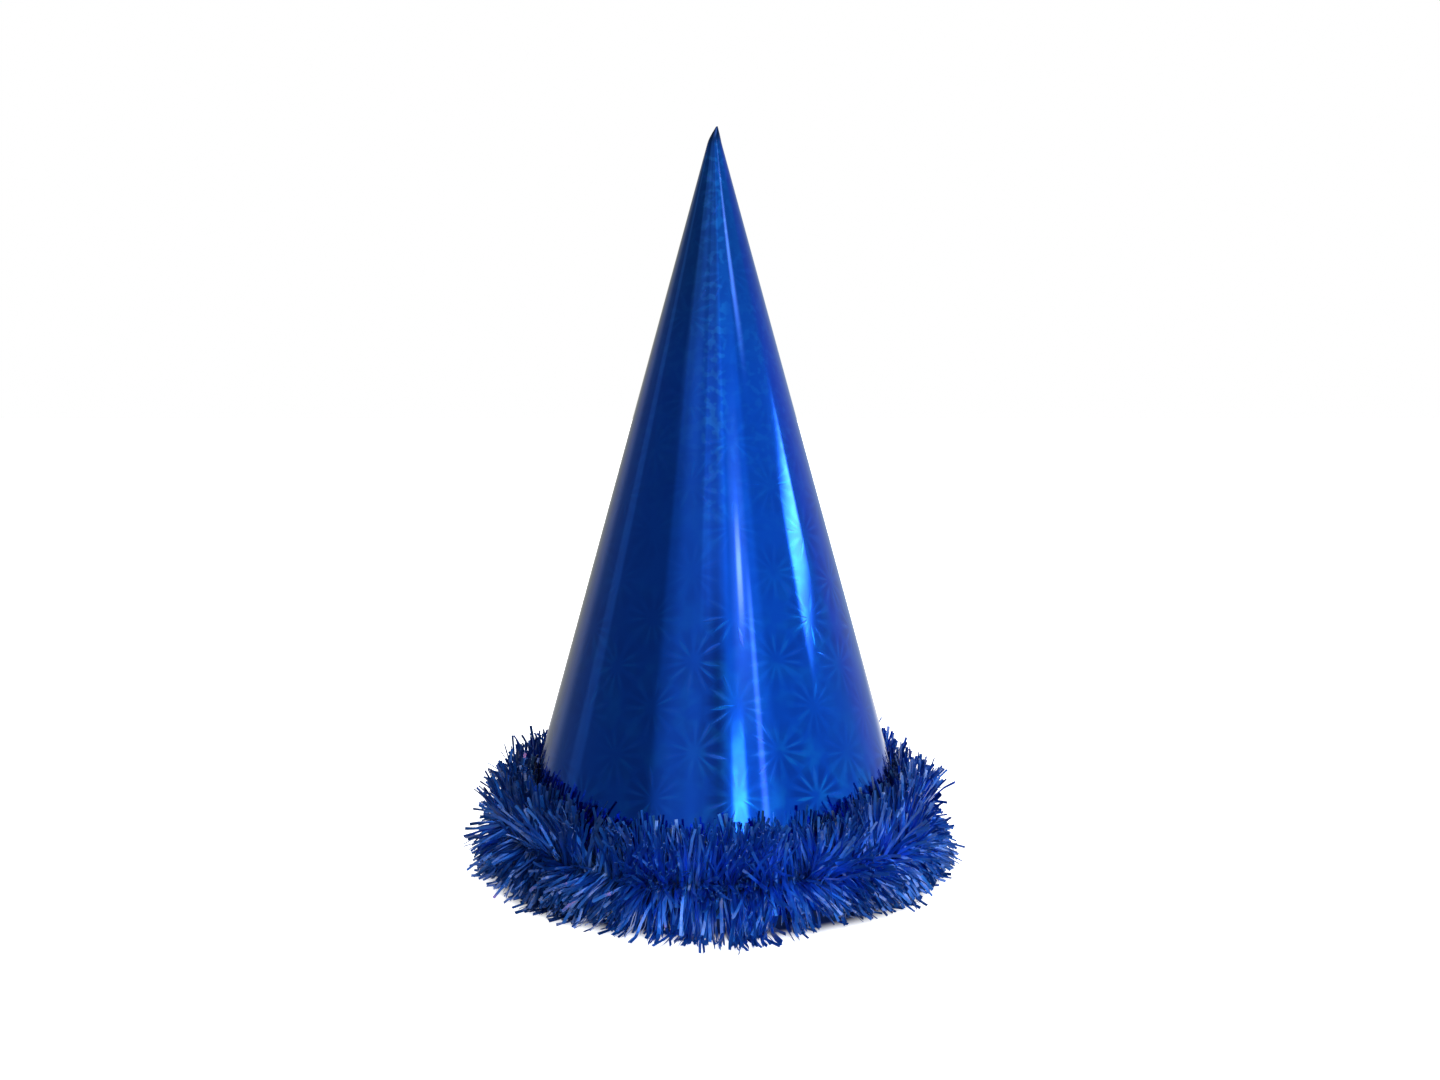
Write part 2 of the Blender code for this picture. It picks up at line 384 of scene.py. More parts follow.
def clear_of_wall(out, side, up, gap):
    """Push points that the cone would cover straight out, to this gap from its face."""
    nearest = (APEX_HEIGHT - up) * math.tan(HALF_ANGLE) + LEAST_WALL_GAP * MM + gap
    reach = np.hypot(out, side)
    covered = (up > FILM_LOW.z - RIM_MARGIN * MM) & (reach < nearest)
    scale = np.where(covered, nearest / reach, 1.0)
    return out * scale, side * scale


def strip_paths(middle_angle):
    """Centre lines of a bundle's strips, kept clear of the cone and of the ground."""
    angle, tilt, sweep, tilt_bend, sweep_bend, length = strip_directions(middle_angle)
    count = len(angle)
    start = spread(*START, count) * MM
    step = (length - start) / (STRIP_POINTS - 1)
    out = CORE_RADIUS + start * np.cos(tilt) + scatter(*OUT_OFFSET, count) * MM
    up = CORE_HEIGHT + start * np.sin(tilt) + scatter(*UP_OFFSET, count) * MM
    ground_gap = spread(*GROUND_GAP, count) * MM
    wall_gap = spread(*WALL_GAP, count) * MM
    out, side = clear_of_wall(out, np.zeros(count), up, 0.0)
    line = [np.stack([out, side, up], axis=-1)]
    for i in range(1, STRIP_POINTS):
        share = i / (STRIP_POINTS - 1)
        tilt_now = tilt + tilt_bend * share + scatter(0.0, KINK, count)
        sweep_now = sweep + sweep_bend * share + scatter(0.0, KINK, count)
        out = out + step * np.cos(sweep_now) * np.cos(tilt_now)
        up = up + step * np.cos(sweep_now) * np.sin(tilt_now)
        side = side + step * np.sin(sweep_now)
        lowest = np.maximum(ground_gap * share, LEAST_GROUND_GAP * MM)
        sunk = np.maximum(lowest - up, 0.0)
        up = up + sunk
        out = out + sunk * PUSH_OUT
        out, side = clear_of_wall(out, side, up, wall_gap * share)
        line.append(np.stack([out, side, up], axis=-1))
    out, side, up = np.moveaxis(np.stack(line, axis=1), -1, 0)

    cos, sin = np.cos(angle)[:, None], np.sin(angle)[:, None]
    return np.stack([out * cos - side * sin, out * sin + side * cos, up], axis=-1)


def ribbon_faces(count, points):
    """The faces of closed ribbons with four vertices at each point of their path."""
    ring = np.arange(points - 1) * 4
    sides = []
    for left, right in ((0, 1), (1, 2), (2, 3), (3, 0)):
        side = [ring + left, ring + right, ring + right + 4, ring + left + 4]
        sides.append(np.stack(side, axis=-1))
    last = (points - 1) * 4
    one = np.concatenate([*sides, [[3, 2, 1, 0]], [[last, last + 1, last + 2, last + 3]]])
    start = np.arange(count) * points * 4
    return (start[:, None, None] + one[None]).reshape(-1, 4)


def tinsel_bundle(name, middle_angle):
    """The strips of one bundle, each a thin closed ribbon that twists along its length.

    Their UV map holds a random shade for each strip and the share of the way to its tip.
    """
    path = strip_paths(middle_angle)
    count, points = path.shape[:2]
    along = unit(np.gradient(path, axis=1))
    helper = unit(RNG.normal(0.0, 1.0, (count, 3)))[:, None, :]
    across = unit(np.cross(along, helper))
    normal = np.cross(along, across)
    twist = scatter(0.0, TWIST, count)[:, None] * np.linspace(0.0, 1.0, points)[None, :]
    cos, sin = np.cos(twist)[..., None], np.sin(twist)[..., None]
    across, normal = across * cos + normal * sin, normal * cos - across * sin
    wide = across * (scatter(*HALF_WIDTH, count) * MM)[:, None, None]
    thick = normal * (HALF_THICKNESS * MM)
    corners = [path + wide + thick, path - wide + thick, path - wide - thick, path + wide - thick]
    vertices = np.stack(corners, axis=2).reshape(-1, 3)
    piece = mesh_object(name, vertices, ribbon_faces(count, points))

    shade = np.repeat(RNG.random(count), points * 4)
    share = np.tile(np.repeat(np.linspace(0.0, 1.0, points), 4), count)
    set_uv(piece, "Strip", np.stack([shade, share], axis=-1))
    piece.data.set_sharp_from_angle(angle=STRIP_SHARP)
    return piece


# ---------------------------------------------------------------- materials

class Nodes:
    """A node tree that is built from plain calls."""

    def __init__(self, tree):
        self.tree = tree
        tree.nodes.clear()

    def add(self, kind, **settings):
        node = self.tree.nodes.new(kind)
        for name, value in settings.items():
            setattr(node, name, value)
        return node

    def put(self, socket, value):
        if isinstance(value, bpy.types.NodeSocket):
            self.tree.links.new(value, socket)
        else:
            socket.default_value = value

    def fill(self, node, values):
        """Put values into a node's first sockets, in their order."""
        for socket, value in zip(node.inputs, values):
            self.put(socket, value)
        return node

    def math(self, operation, *values):
        return self.fill(self.add("ShaderNodeMath", operation=operation), values).outputs[0]

    def times(self, first, *others):
        for value in others:
            first = self.math("MULTIPLY", first, value)
        return first

    def length(self, x, y):
        """The length of the flat vector with these parts."""
        return self.math("SQRT", self.math("MULTIPLY_ADD", y, y, self.math("MULTIPLY", x, x)))

    def ramp(self, value, low, high, to_low=0.0, to_high=1.0):
        """Ease from to_low to to_high as value goes from low to high."""
        node = self.add("ShaderNodeMapRange", interpolation_type="SMOOTHSTEP")
        return self.fill(node, (value, low, high, to_low, to_high)).outputs[0]

    def mix(self, factor, first, second):
        node = self.add("ShaderNodeMix", data_type="RGBA")
        self.put(node.inputs[0], factor)
        self.put(node.inputs[6], first)
        self.put(node.inputs[7], second)
        return node.outputs[2]

    def mix_value(self, factor, first, second):
        node = self.add("ShaderNodeMix", data_type="FLOAT")
        self.put(node.inputs[0], factor)
        self.put(node.inputs[2], first)
        self.put(node.inputs[3], second)
        return node.outputs[0]

    def sum_light(self, share, colour, rest):
        """share times colour, plus rest."""
        node = self.add("ShaderNodeVectorMath", operation="MULTIPLY_ADD")
        return self.fill(node, (share, colour, rest)).outputs[0]

    def noise(self, vector, scale, detail):
        node = self.add("ShaderNodeTexNoise")
        self.put(node.inputs["Vector"], vector)
        self.put(node.inputs["Scale"], scale)
        self.put(node.inputs["Detail"], detail)
        return node.outputs[0]

    def white_noise(self, x, y, z):
        """A random number and a random colour for each place."""
        seed = self.fill(self.add("ShaderNodeCombineXYZ"), (x, y, z))
        pick = self.add("ShaderNodeTexWhiteNoise", noise_dimensions="3D")
        self.put(pick.inputs[0], seed.outputs[0])
        return pick.outputs

    def bump(self, height, distance, strength):
        node = self.add("ShaderNodeBump")
        self.put(node.inputs["Height"], height)
        self.put(node.inputs["Distance"], distance)
        self.put(node.inputs["Strength"], strength)
        return node.outputs[0]

    def parts(self, vector):
        """The x, y and z of a vector."""
        return tuple(self.fill(self.add("ShaderNodeSeparateXYZ"), (vector,)).outputs)

    def uv(self, name):
        return self.parts(self.add("ShaderNodeUVMap", uv_map=name).outputs[0])[:2]

    def position(self):
        return self.add("ShaderNodeTexCoord").outputs["Object"]


def new_material(name):
    """A material with one Principled shader, ready for its nodes."""
    material = bpy.data.materials.new(name)
    material.use_nodes = True
    nodes = Nodes(material.node_tree)
    shader = nodes.add("ShaderNodeBsdfPrincipled")
    nodes.output = nodes.add("ShaderNodeOutputMaterial")
    nodes.put(nodes.output.inputs[0], shader.outputs[0])
    return material, nodes, shader


def set_inputs(nodes, shader, **values):
    """Set a shader's inputs by their names, with _ for a space."""
    for name, value in values.items():
        nodes.put(shader.inputs[name.replace("_", " ")], value)


# The foil's stars, on the flat blank: two grids of the same pitch, one set between the
# other, turned a little. Each star has rays, unevenly spaced, and petals between them.
STAR_PITCH = (24.08 * MM, 25.41 * MM)
STAR_ORIGINS = ((15.39 * MM, 188.10 * MM), (3.35 * MM, 200.80 * MM))
STAR_ROTATION = math.radians(0.98)
STAR_RAYS = 11
RAY_SPACING = math.tau / STAR_RAYS
UNEVEN_WAVES = 3.0
UNEVEN_SIZE = 0.10
UNEVEN_PHASE = 1.7
STAR_TURN = 0.3
STAR_SEED = 50.0
STAR_STRENGTH = (0.0, 1.0, 0.80, 1.15)


def star_centre(nodes, across, down):
    """Where a point is from its nearest star's centre: its two parts and its distance."""
    found = []
    for origin in STAR_ORIGINS:
        local = []
        for value, start, pitch in zip((across, down), origin, STAR_PITCH):
            offset = nodes.math("SUBTRACT", value, start)
            local.append(nodes.math("WRAP", offset, pitch / 2.0, -pitch / 2.0))
        found.append((*local, nodes.length(*local)))
    nearer = nodes.math("LESS_THAN", found[1][2], found[0][2])
    return [nodes.mix_value(nearer, first, second) for first, second in zip(*found)]


def rounded_ratio(nodes, value, less, unit_size):
    """value minus less, as a whole number of units."""
    ratio = nodes.math("DIVIDE", nodes.math("SUBTRACT", value, less), unit_size)
    return nodes.math("ROUND", ratio)


def star_pattern(nodes):
    """The starbursts: distance from the nearest centre, distance and angle off the nearest
    ray's middle line, two random numbers for each ray, and how strong the star is."""
    x, y = nodes.uv("Blank")
    cos, sin = math.cos(STAR_ROTATION), math.sin(STAR_ROTATION)
    across = nodes.math("SUBTRACT", nodes.times(x, cos), nodes.times(y, sin))
    down = nodes.math("ADD", nodes.times(x, sin), nodes.times(y, cos))
    off_x, off_y, distance = star_centre(nodes, across, down)
    centre_x = rounded_ratio(nodes, across, off_x, MM)
    centre_y = rounded_ratio(nodes, down, off_y, MM)

    angle = nodes.math("ARCTAN2", off_y, off_x)
    phase = nodes.times(centre_x, UNEVEN_PHASE)
    turned = nodes.math("MULTIPLY_ADD", angle, UNEVEN_WAVES, phase)
    uneven = nodes.math("MULTIPLY_ADD", nodes.math("SINE", turned), UNEVEN_SIZE, angle)
    uneven = nodes.math("MULTIPLY_ADD", nodes.math("SINE", centre_y), STAR_TURN, uneven)
    off_ray = nodes.math("WRAP", uneven, RAY_SPACING / 2.0, -RAY_SPACING / 2.0)
    ray_number = rounded_ratio(nodes, uneven, off_ray, RAY_SPACING)
    off_axis = nodes.times(nodes.math("ABSOLUTE", off_ray), distance)

    pick, colour = nodes.white_noise(centre_x, centre_y, ray_number)
    tone = nodes.fill(nodes.add("ShaderNodeSeparateColor"), (colour,)).outputs[1]
    star = nodes.white_noise(centre_x, centre_y, STAR_SEED)[0]
    return distance, off_axis, off_ray, pick, tone, nodes.ramp(star, *STAR_STRENGTH)


# From here on, a ramp's numbers are the two ends of the value it follows and then, unless
# they are 0 and 1, the two ends of what it gives.

# What a ray's random number adds to the place of its middle, and that place, out from the
# star's centre; how its half width falls off from there; its soft edge; where it ends; and
# how much its tone adds to its least strength
RAY_MIDDLE = (2.6 * MM, 4.3 * MM)
RAY_HALF_WIDTH = (0.0, 4.2 * MM, 0.46 * MM, 0.0)
RAY_EDGE = (-0.18 * MM, 0.30 * MM)
RAY_END = (4.2 * MM, 2.0 * MM)
RAY_TONE = (0.95, 0.15)

# A petal's sides, as angles off the ray, and where it begins and ends
PETAL_SIDE = (0.08, 0.20)
PETAL_START = (1.5 * MM, 4.0 * MM)
PETAL_END = (11.0 * MM, 6.5 * MM)

# How plainly the stars show: less with height, in cloudy patches, more to the right, and
# more in the strip up the front's middle, where the foil reflects a dark band of the room.
# The stars are the foil's own print; their extra strength on the right and in that strip
# is painted light
FADE = (0.18 * APEX_HEIGHT, 0.50 * APEX_HEIGHT, 1.0, 0.36)
CLOUD = (0.36, 0.58, 0.25, 1.0)
CRISP = (8.0 * MM, 26.0 * MM, 0.60, 1.40)
STRIP_SIDE = (4.5 * MM, 2.0 * MM)
STRIP_CRISP = 0.8

# The finer specks, which show higher up the hat, more to the right and more in the front's
# middle strip; their extra strength on the right and in that strip is painted light
SPECK = (0.51, 0.62)
SPECK_HEIGHT = (0.42 * APEX_HEIGHT, 0.60 * APEX_HEIGHT)
SPECK_SIDE = (6.0 * MM, 12.0 * MM, 0.10, 0.20)
STRIP_SPECK = 0.35

# Where the foil is painted darker towards the top and where its pinched tip is painted
# dark, both painted shade, and how much of the colour each kind of mark takes
FOIL_TOP_SHADE_HEIGHT = (0.62 * APEX_HEIGHT, 0.85 * APEX_HEIGHT)
FOIL_TIP_SHADE_HEIGHT = (APEX_HEIGHT - 10.0 * MM, APEX_HEIGHT - 4.5 * MM)
FACET = (0.42, 0.68)
FACET_SHARE = 0.50
PATCH = (0.46, 0.62)
PATCH_SHARE = 0.22
PETAL_SHARE = 0.56
RAY_SHARE = 0.85

# The foil's noises, each with its scale and its detail, its roughness, with what rays and
# petals add to it, and the distance and the strength of the rays' relief
CLOUD_NOISE = (28.0, 1.0)
SMUDGE_NOISE = (40.0, 4.0)
PATCH_NOISE = (95.0, 3.0)
FACET_NOISE = (170.0, 2.0)
SPECK_NOISE = (420.0, 1.0)
FOIL_ROUGHNESS = (0.35, 0.75, 0.065, 0.10)
RAY_ROUGHER = 0.09
PETAL_ROUGHER = 0.03
RAY_RELIEF = (0.06 * MM, 0.7)

FOIL_BLUE = (0.002, 0.102, 0.80, 1.0)
FOIL_DEEP = (0.001, 0.046, 0.46, 1.0)
FOIL_DULL = (0.001, 0.065, 0.60, 1.0)
FOIL_BRIGHT = (0.025, 0.250, 0.95, 1.0)
FOIL_CYAN = (0.010, 0.215, 0.92, 1.0)
FOIL_VIOLET = (0.030, 0.125, 0.88, 1.0)
FOIL_TIP_SHADE = (0.004, 0.030, 0.14, 1.0)
FOIL_TOP_SHADE = (0.006, 0.100, 0.56, 1.0)


def ray_and_petal(nodes, distance, off_axis, off_ray, pick, tone):
    """How far a point lies in a star's ray and in a petal between two rays, 0 to 1."""
    ray_middle = nodes.math("MULTIPLY_ADD", pick, *RAY_MIDDLE)
    from_middle = nodes.math("ABSOLUTE", nodes.math("SUBTRACT", distance, ray_middle))
    half_width = nodes.ramp(from_middle, *RAY_HALF_WIDTH)
    ray = nodes.ramp(nodes.math("SUBTRACT", half_width, off_axis), *RAY_EDGE)
    ray = nodes.times(ray, nodes.ramp(from_middle, *RAY_END))
    ray = nodes.times(ray, nodes.math("MULTIPLY_ADD", tone, *RAY_TONE))
    petal = nodes.ramp(nodes.math("ABSOLUTE", off_ray), *PETAL_SIDE)
    petal = nodes.times(petal, nodes.ramp(distance, *PETAL_START))
    petal = nodes.times(petal, nodes.ramp(distance, *PETAL_END))
    return ray, petal


def foil_colour(nodes, position, fade, in_dark_reflection_strip, ray, petal, pick):
    """The foil's blue, with its facets, specks, dull patches and stars, and painted shade at the
    top and the tip.
    """
    side, _, height = nodes.parts(position)
    # Painted shade: the foil is darker towards the top.
    colour = nodes.mix(nodes.ramp(height, *FOIL_TOP_SHADE_HEIGHT), FOIL_BLUE, FOIL_TOP_SHADE)
    facets = nodes.ramp(nodes.noise(position, *FACET_NOISE), *FACET)
    colour = nodes.mix(nodes.times(facets, fade, FACET_SHARE), colour, FOIL_CYAN)
    specks = nodes.ramp(nodes.noise(position, *SPECK_NOISE), *SPECK)
    specks = nodes.times(specks, nodes.ramp(height, *SPECK_HEIGHT))
    # Painted light: the bright specks are stronger on the right and in the dark reflection strip.
    where = nodes.ramp(side, *SPECK_SIDE)
    where = nodes.math("MULTIPLY_ADD", in_dark_reflection_strip, STRIP_SPECK, where)
    colour = nodes.mix(nodes.times(specks, where), colour, FOIL_BRIGHT)
    patches = nodes.ramp(nodes.noise(position, *PATCH_NOISE), *PATCH)
    colour = nodes.mix(nodes.times(patches, PATCH_SHARE), colour, FOIL_DULL)
    colour = nodes.mix(nodes.times(petal, PETAL_SHARE), colour, FOIL_DEEP)
    ray_colour = nodes.mix(pick, FOIL_CYAN, FOIL_VIOLET)
    colour = nodes.mix(nodes.times(ray, RAY_SHARE), colour, ray_colour)
    # Painted shade: the pinched tip is painted dark navy.
    return nodes.mix(nodes.ramp(height, *FOIL_TIP_SHADE_HEIGHT), colour, FOIL_TIP_SHADE)


def foil_material():
    material, nodes, shader = new_material("holographic_foil")
    distance, off_axis, off_ray, pick, tone, strength = star_pattern(nodes)
    ray, petal = ray_and_petal(nodes, distance, off_axis, off_ray, pick, tone)

    position = nodes.position()
    side, _, height = nodes.parts(position)
    cloud = nodes.ramp(nodes.noise(position, *CLOUD_NOISE), *CLOUD)
    # Painted light: stars and specks are made stronger in the strip where the foil reflects a
    # dark band of the room, and on the right.
    in_dark_reflection_strip = nodes.ramp(nodes.math("ABSOLUTE", side), *STRIP_SIDE)
    crisp = nodes.math("MULTIPLY_ADD", in_dark_reflection_strip, STRIP_CRISP, nodes.ramp(side, *CRISP))
    fade = nodes.times(nodes.ramp(height, *FADE), cloud, crisp)
    shown = nodes.times(fade, strength)
    ray = nodes.times(ray, shown)
    petal = nodes.times(petal, shown)

    roughness = nodes.ramp(nodes.noise(position, *SMUDGE_NOISE), *FOIL_ROUGHNESS)
    roughness = nodes.math("MULTIPLY_ADD", ray, RAY_ROUGHER, roughness)
    roughness = nodes.math("MULTIPLY_ADD", petal, PETAL_ROUGHER, roughness)
    ridge = nodes.times(ray, nodes.math("SUBTRACT", pick, 0.5))
    set_inputs(
        nodes,
        shader,
        Base_Color=foil_colour(nodes, position, fade, in_dark_reflection_strip, ray, petal, pick),
        Roughness=roughness,
        Normal=nodes.bump(ridge, *RAY_RELIEF),
        Metallic=1.0,
        Specular_Tint=(1.0, 1.0, 0.90, 1.0),
        Coat_Weight=0.8,
        Coat_Roughness=0.05,
        Coat_IOR=1.25,
    )
    return material


# The plain materials' noises have a scale and a detail, their roughnesses rise with the
# noise from one value to another, and their reliefs have a distance and a strength
CARD_DARK = (0.50, 0.49, 0.46, 1.0)
CARD_PALE = (0.80, 0.79, 0.75, 1.0)
CARD_BLOTCH = (0.55, 0.53, 0.48, 1.0)
FIBRE_NOISE = (900.0, 6.0)
BLOTCH_NOISE = (60.0, 3.0)
BLOTCH = (0.3, 0.7, 0.0, 0.25)
CARD_ROUGHNESS = (0.2, 0.8, 0.72, 0.90)
CARD_RELIEF = (0.05 * MM, 0.5)


def card_material():
    material, nodes, shader = new_material("card_board")
    position = nodes.position()
    fibres = nodes.noise(position, *FIBRE_NOISE)
    blotch = nodes.ramp(nodes.noise(position, *BLOTCH_NOISE), *BLOTCH)
    grain = nodes.mix(fibres, CARD_DARK, CARD_PALE)
    set_inputs(
        nodes,
        shader,
        Base_Color=nodes.mix(blotch, grain, CARD_BLOTCH),
        Roughness=nodes.ramp(fibres, *CARD_ROUGHNESS),
        Normal=nodes.bump(fibres, *CARD_RELIEF),
    )
    return material


# The strips' blues: from deep to full by each strip's random shade, with a few pale ones.
# Painted shade darkens them at the root, towards the tip, on the left of the ring and where
# they lie against the wall; painted light makes them brighter at the ring's middle
TINSEL_DEEP = (0.010, 0.120, 0.62, 1.0)
TINSEL_FULL = (0.026, 0.240, 0.98, 1.0)
TINSEL_PALE = (0.120, 0.260, 0.92, 1.0)
TINSEL_ROOT_SHADE = (0.003, 0.020, 0.11, 1.0)
TINSEL_TIP_SHADE = (0.004, 0.035, 0.16, 1.0)
TINSEL_LEFT_SHADE = (0.003, 0.025, 0.16, 1.0)
TINSEL_MIDDLE_LIGHT = (0.028, 0.270, 1.0, 1.0)
TINSEL_SHADED = (0.006, 0.028, 0.09, 1.0)
FULL_SHADE = (0.0, 0.7)
PALE_SHADE = (0.75, 1.0, 0.0, 0.5)
STRIP_ROOT_SHADE = (0.42, 0.08, 0.0, 0.64)
STRIP_TIP_SHADE = (0.55, 1.0, 0.0, 0.6)
LEFT_SHADE_FROM = (-12.0 * MM, -34.0 * MM)
LEFT_SHADE_SHARE = (-74.0 * MM, -56.0 * MM, 0.07, 0.32)
MIDDLE_LIGHT_SHARE = (42.0 * MM, 16.0 * MM, 0.0, 0.30)
OFF_WALL = (4.5 * MM, 1.5 * MM)
WALL_SHADE = 0.82
CRINKLE_NOISE = (700.0, 2.0)
TINSEL_ROUGHNESS = (0.3, 0.7, 0.46, 0.62)
TINSEL_RELIEF = (0.12 * MM, 0.7)


def tinsel_material():
    material, nodes, shader = new_material("foil_strips")
    shade, along = nodes.uv("Strip")
    colour = nodes.mix(nodes.ramp(shade, *FULL_SHADE), TINSEL_DEEP, TINSEL_FULL)
    colour = nodes.mix(nodes.ramp(shade, *PALE_SHADE), colour, TINSEL_PALE)
    # Painted shade: the strips are darker at the root and towards the tip.
    colour = nodes.mix(nodes.ramp(along, *STRIP_ROOT_SHADE), colour, TINSEL_ROOT_SHADE)
    colour = nodes.mix(nodes.ramp(along, *STRIP_TIP_SHADE), colour, TINSEL_TIP_SHADE)
    position = nodes.position()
    x, y, height = nodes.parts(position)
    # Painted shade: the strips on the left of the ring are darkened, as the light falls from the
    # right.
    left = nodes.times(nodes.ramp(x, *LEFT_SHADE_FROM), nodes.ramp(x, *LEFT_SHADE_SHARE))
    colour = nodes.mix(left, colour, TINSEL_LEFT_SHADE)
    # Painted light: the strips at the middle of the ring, front and back, are brightened.
    middle = nodes.ramp(nodes.math("ABSOLUTE", x), *MIDDLE_LIGHT_SHARE)
    colour = nodes.mix(middle, colour, TINSEL_MIDDLE_LIGHT)
    below_apex = nodes.math("SUBTRACT", APEX_HEIGHT, height)
    wall_radius = nodes.times(below_apex, math.tan(HALF_ANGLE))
    off_wall = nodes.math("SUBTRACT", nodes.length(x, y), wall_radius)
    shaded = nodes.times(nodes.ramp(off_wall, *OFF_WALL), WALL_SHADE)
    crinkle = nodes.noise(position, *CRINKLE_NOISE)
    set_inputs(
        nodes,
        shader,
        Base_Color=nodes.mix(shaded, colour, TINSEL_SHADED),
        Roughness=nodes.ramp(crinkle, *TINSEL_ROUGHNESS),
        Normal=nodes.bump(crinkle, *TINSEL_RELIEF),
        Metallic=1.0,
        Coat_Weight=0.9,
        Coat_Roughness=0.16,
        Coat_IOR=1.5,
    )
    return material


THREAD_DARK = (0.004, 0.010, 0.06, 1.0)
THREAD_PALE = (0.012, 0.03, 0.18, 1.0)
FUZZ_NOISE = (2500.0, 4.0)
THREAD_ROUGHNESS = (0.2, 0.8, 0.7, 0.95)
THREAD_RELIEF = (0.1 * MM, 0.6)


def thread_material():
    material, nodes, shader = new_material("garland_thread")
    fuzz = nodes.noise(nodes.position(), *FUZZ_NOISE)
    set_inputs(
        nodes,
        shader,
        Base_Color=nodes.mix(fuzz, THREAD_DARK, THREAD_PALE),
        Roughness=nodes.ramp(fuzz, *THREAD_ROUGHNESS),
        Normal=nodes.bump(fuzz, *THREAD_RELIEF),
    )
    return material


# Each glue's colour and least roughness, and how much they vary
HOT_GLUE = ((0.72, 0.70, 0.60), 0.25)
SEAM_GLUE = ((0.70, 0.68, 0.58), 0.35)
GLUE_PALER = 1.15
GLUE_ROUGHER = 0.15
GLUE_NOISE = (500.0, 3.0)
GLUE_CLOUD = (0.3, 0.7)
GLUE_RELIEF = (0.08 * MM, 0.4)


def glue_material(name, colour, roughness):
    material, nodes, shader = new_material(name)
    cloud = nodes.noise(nodes.position(), *GLUE_NOISE)
    pale = [min(1.0, part * GLUE_PALER) for part in colour]
    set_inputs(
        nodes,
        shader,
        Base_Color=nodes.mix(cloud, (*colour, 1.0), (*pale, 1.0)),
        Roughness=nodes.ramp(cloud, *GLUE_CLOUD, roughness, roughness + GLUE_ROUGHER),
        Normal=nodes.bump(cloud, *GLUE_RELIEF),
    )
    return material


# ---------------------------------------------------------------- the studio

CAMERA_DISTANCE = 459.5 * MM
CAMERA_HEIGHT = 148.1 * MM
CAMERA_PITCH = math.radians(5.92)
CAMERA_YAW = math.radians(0.23)
SENSOR_WIDTH = 36.0
LENS = 37.5
CLIP_START = 0.01

# The floor, with a painted shadow under the hat, and how far out from the hat's middle it
# turns from that dark to its pale colour
FLOOR_HALF_SIZE = 6.0
UNDER_HAT_SHADOW = (0.02, 0.05, 0.22, 1.0)
OPEN_FLOOR = (0.90, 0.90, 0.90, 1.0)
OPEN_FROM = (65.0 * MM, 73.5 * MM)
FLOOR_GLOW = 0.9


def make_camera():
    camera = bpy.data.objects.new("camera", bpy.data.cameras.new("camera"))
    camera.data.sensor_width = SENSOR_WIDTH
    camera.data.lens = LENS
    camera.data.clip_start = CLIP_START
    camera.location = (0.0, -CAMERA_DISTANCE, CAMERA_HEIGHT)
    camera.rotation_euler = (math.radians(90.0) - CAMERA_PITCH, 0.0, -CAMERA_YAW)
    bpy.context.scene.collection.objects.link(camera)
    bpy.context.scene.camera = camera


def make_floor():
    """A pale floor with a dark painted shadow under the hat, so that no light shows through the
    tinsel, and clear from below. It takes no part in the hat's light."""
    ends = (-FLOOR_HALF_SIZE, FLOOR_HALF_SIZE)
    corners = [(x, y, 0.0) for y in ends for x in ends]
    floor = mesh_object("floor", corners, [(0, 1, 3, 2)])
    material, nodes, shader = new_material("pale_floor")
    across, deep, _ = nodes.parts(nodes.position())
    # Painted shadow: dark navy under the hat, turning pale further out.
    clear = nodes.ramp(nodes.length(across, deep), *OPEN_FROM)
    set_inputs(
        nodes,
        shader,
        Base_Color=nodes.mix(clear, UNDER_HAT_SHADOW, OPEN_FLOOR),
        Roughness=0.9,
        Specular_IOR_Level=0.0,
        Emission_Color=(1.0, 1.0, 1.0, 1.0),
        Emission_Strength=nodes.times(clear, FLOOR_GLOW),
    )
    backfacing = nodes.add("ShaderNodeNewGeometry").outputs["Backfacing"]
    nothing = nodes.add("ShaderNodeBsdfTransparent").outputs[0]
    one_sided = nodes.add("ShaderNodeMixShader")
    nodes.fill(one_sided, (backfacing, shader.outputs[0], nothing))
    nodes.put(nodes.output.inputs[0], one_sided.outputs[0])
    set_material(floor, material)
    floor.visible_diffuse = False
    floor.visible_glossy = False
    floor.visible_shadow = False


